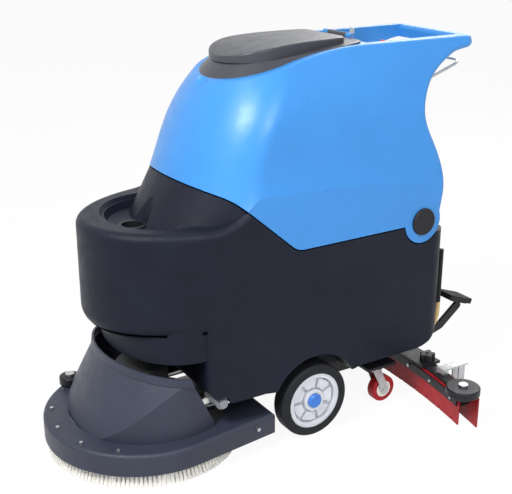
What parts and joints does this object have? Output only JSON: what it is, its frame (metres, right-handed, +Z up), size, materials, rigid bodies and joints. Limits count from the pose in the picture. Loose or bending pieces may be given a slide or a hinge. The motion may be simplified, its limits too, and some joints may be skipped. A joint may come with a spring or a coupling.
{
  "type": "floor scrubber",
  "caption": "Walk-behind battery floor scrubber with a tilting recovery tank over a solution tank, a disc brush deck under a hood and a curved squeegee on a lifting arm.",
  "frame": {"origin": "on the floor under the middle of the machine's bounding box", "axes": "+X forward along the direction of travel, +Y to the machine's left, +Z up"},
  "size_m": [1.201, 0.894, 0.9975],
  "materials": {
    "black_moulding": "grained rotomoulded polyethylene, blue black",
    "blue_moulding": "grained rotomoulded polyethylene, bright blue",
    "lid_black": "satin black moulding",
    "deck_black": "grained moulding, grey black",
    "tyre_rubber": "black rubber",
    "wheel_grey": "silver grey moulding",
    "cap_blue": "blue plastic",
    "steel": "zinc plated steel",
    "frame_paint": "black powder coat",
    "white_plastic": "white nylon",
    "red_urethane": "dark red polyurethane",
    "bristle_white": "white nylon bristles",
    "black_plastic": "satin black plastic",
    "black_rubber": "black rubber",
    "squeegee_alloy": "cast aluminium, black enamel",
    "stop_red": "red plastic",
    "clear_tan": "aged clear vinyl tube",
    "clear_white": "white vinyl tube",
    "filter_grey": "grey plastic",
    "motor_metal": "grey enamel",
    "battery_case": "grey battery case"
  },
  "bodies": {
    "chassis": {"chassis_frame": "frame_paint", "wheel_axle": "steel", "wheel_bearings": "steel", "pivot_pins": "steel", "caster_plates": "steel", "solution_tank": "black_moulding", "filler_strainer": "black_plastic", "batteries": "battery_case", "battery_cables": "black_rubber", "suction_hose": "black_rubber", "level_hose": "clear_tan", "solution_filter": "filter_grey", "supply_hose": "clear_white"},
    "deck_arms": {"deck_arms": "frame_paint"},
    "brush_deck": {"deck_hood": "deck_black", "deck_plate": "steel", "brush_motor": "motor_metal", "deck_screws": "steel"},
    "brush": {"drive_hub": "steel", "brush_block": "black_plastic", "brush_bristles": "bristle_white"},
    "guard_roller": {"guard_roller": "black_plastic"},
    "pedal": {"pedal_arm": "frame_paint", "pedal_pad": "black_rubber"},
    "squeegee": {"squeegee_holder": "squeegee_alloy", "front_blade": "red_urethane", "rear_blade": "red_urethane", "blade_straps": "frame_paint", "squeegee_bolts": "steel", "squeegee_arm": "frame_paint", "wheel_brackets": "steel"},
    "squeegee_lever": {"squeegee_lever": "frame_paint"},
    "upper_tank": {"recovery_tank": "blue_moulding", "hinge_caps": "black_plastic", "lid_hinge_pin": "steel", "control_panel": "black_plastic", "vacuum_motor": "motor_metal", "float_cage": "white_plastic"},
    "lid": {"tank_lid": "lid_black"},
    "stop_button": {"stop_button": "stop_red"},
    "key_switch": {"key_switch": "steel"},
    "drive_bail": {"drive_bail": "steel"},
    "left_wheel": {"left_tyre": "tyre_rubber", "left_rim": "wheel_grey", "left_hub_cap": "cap_blue"},
    "left_caster": {"left_caster_fork": "steel"},
    "left_caster_wheel": {"left_caster_core": "white_plastic", "left_caster_tread": "red_urethane"},
    "left_support_wheel": {"left_support_wheel": "black_plastic"},
    "left_star_knob": {"left_star_knob": "black_plastic"},
    "left_guide_roller": {"left_guide_roller": "black_plastic"},
    "right_wheel": {"right_tyre": "tyre_rubber", "right_rim": "wheel_grey", "right_hub_cap": "cap_blue"},
    "right_caster": {"right_caster_fork": "steel"},
    "right_caster_wheel": {"right_caster_core": "white_plastic", "right_caster_tread": "red_urethane"},
    "right_support_wheel": {"right_support_wheel": "black_plastic"},
    "right_star_knob": {"right_star_knob": "black_plastic"},
    "right_guide_roller": {"right_guide_roller": "black_plastic"}
  },
  "joints": [
    {"name": "deck_lift", "type": "hinge", "parent": "chassis", "child": "deck_arms", "pos_m": [0.0565, 0, 0.125], "axis": [0, -1, 0], "range_deg": [0, 8], "deforming": ["supply_hose"]},
    {"name": "deck_level", "type": "hinge", "parent": "deck_arms", "child": "brush_deck", "pos_m": [0.2465, 0, 0.115], "axis": [0, -1, 0], "range_deg": [-8, 0]},
    {"name": "brush_spin", "type": "hinge", "parent": "brush_deck", "child": "brush", "pos_m": [0.3485, 0, 0.06], "axis": [0, 0, 1], "continuous": true},
    {"name": "guard_roller_spin", "type": "hinge", "parent": "brush_deck", "child": "guard_roller", "pos_m": [0.4665, -0.201, 0.106], "axis": [0, 0, 1], "continuous": true},
    {"name": "pedal_press", "type": "hinge", "parent": "chassis", "child": "pedal", "pos_m": [-0.3535, 0.176, 0.14], "axis": [0, -1, 0], "range_deg": [0, 8]},
    {"name": "squeegee_lift", "type": "hinge", "parent": "chassis", "child": "squeegee", "pos_m": [-0.1785, 0, 0.1], "axis": [0, 1, 0], "range_deg": [0, 8], "deforming": ["suction_hose"]},
    {"name": "lever_swing", "type": "hinge", "parent": "chassis", "child": "squeegee_lever", "pos_m": [-0.3535, -0.174, 0.14], "axis": [0, -1, 0], "range_deg": [0, 18]},
    {"name": "tank_tilt", "type": "hinge", "parent": "chassis", "child": "upper_tank", "pos_m": [-0.3645, 0, 0.526], "axis": [0, -1, 0], "range_deg": [0, 48], "deforming": ["suction_hose"]},
    {"name": "lid_open", "type": "hinge", "parent": "upper_tank", "child": "lid", "pos_m": [-0.243, 0, 0.99], "axis": [0, -1, 0], "range_deg": [0, 95]},
    {"name": "stop_press", "type": "slide", "parent": "upper_tank", "child": "stop_button", "axis": [0.2223, 0, -0.975], "range_m": [0, 0.005], "stiffness_N_per_m": 600},
    {"name": "key_turn", "type": "hinge", "parent": "upper_tank", "child": "key_switch", "pos_m": [-0.3285, -0.062, 0.95662], "axis": [-0.2223, 0, 0.975], "range_deg": [0, 90]},
    {"name": "bail_pull", "type": "hinge", "parent": "upper_tank", "child": "drive_bail", "pos_m": [-0.4085, 0, 0.864], "axis": [0, 1, 0], "range_deg": [0, 12], "stiffness_Nm_per_rad": 0.8},
    {"name": "left_wheel_spin", "type": "hinge", "parent": "chassis", "child": "left_wheel", "pos_m": [-0.0285, 0.211, 0.1], "axis": [0, 1, 0], "continuous": true},
    {"name": "left_caster_swivel", "type": "hinge", "parent": "chassis", "child": "left_caster", "pos_m": [-0.2655, 0.173, 0.105], "axis": [0, 0, 1], "continuous": true},
    {"name": "left_caster_roll", "type": "hinge", "parent": "left_caster", "child": "left_caster_wheel", "pos_m": [-0.2955, 0.173, 0.0375], "axis": [0, 1, 0], "continuous": true},
    {"name": "left_support_wheel_roll", "type": "hinge", "parent": "squeegee", "child": "left_support_wheel", "pos_m": [-0.4815, 0.28, 0.022], "axis": [0, 1, 0], "continuous": true},
    {"name": "left_star_knob_turn", "type": "hinge", "parent": "squeegee", "child": "left_star_knob", "pos_m": [-0.43322, 0.204, 0.108], "axis": [0, 0, 1], "continuous": true},
    {"name": "left_guide_roller_spin", "type": "hinge", "parent": "squeegee", "child": "left_guide_roller", "pos_m": [-0.38185, 0.402, 0.108], "axis": [0, 0, 1], "continuous": true},
    {"name": "right_wheel_spin", "type": "hinge", "parent": "chassis", "child": "right_wheel", "pos_m": [-0.0285, -0.211, 0.1], "axis": [0, 1, 0], "continuous": true},
    {"name": "right_caster_swivel", "type": "hinge", "parent": "chassis", "child": "right_caster", "pos_m": [-0.2655, -0.173, 0.105], "axis": [0, 0, 1], "continuous": true},
    {"name": "right_caster_roll", "type": "hinge", "parent": "right_caster", "child": "right_caster_wheel", "pos_m": [-0.2955, -0.173, 0.0375], "axis": [0, 1, 0], "continuous": true},
    {"name": "right_support_wheel_roll", "type": "hinge", "parent": "squeegee", "child": "right_support_wheel", "pos_m": [-0.4815, -0.28, 0.022], "axis": [0, 1, 0], "continuous": true},
    {"name": "right_star_knob_turn", "type": "hinge", "parent": "squeegee", "child": "right_star_knob", "pos_m": [-0.43322, -0.204, 0.108], "axis": [0, 0, 1], "continuous": true},
    {"name": "right_guide_roller_spin", "type": "hinge", "parent": "squeegee", "child": "right_guide_roller", "pos_m": [-0.38185, -0.402, 0.108], "axis": [0, 0, 1], "continuous": true}
  ],
  "couplings": [
    {"joint": "deck_level", "follows": "deck_lift", "ratio": -1},
    {"joint": "pedal_press", "follows": "deck_lift", "ratio": 1},
    {"joint": "lever_swing", "follows": "squeegee_lift", "ratio": 2.2}
  ]
}
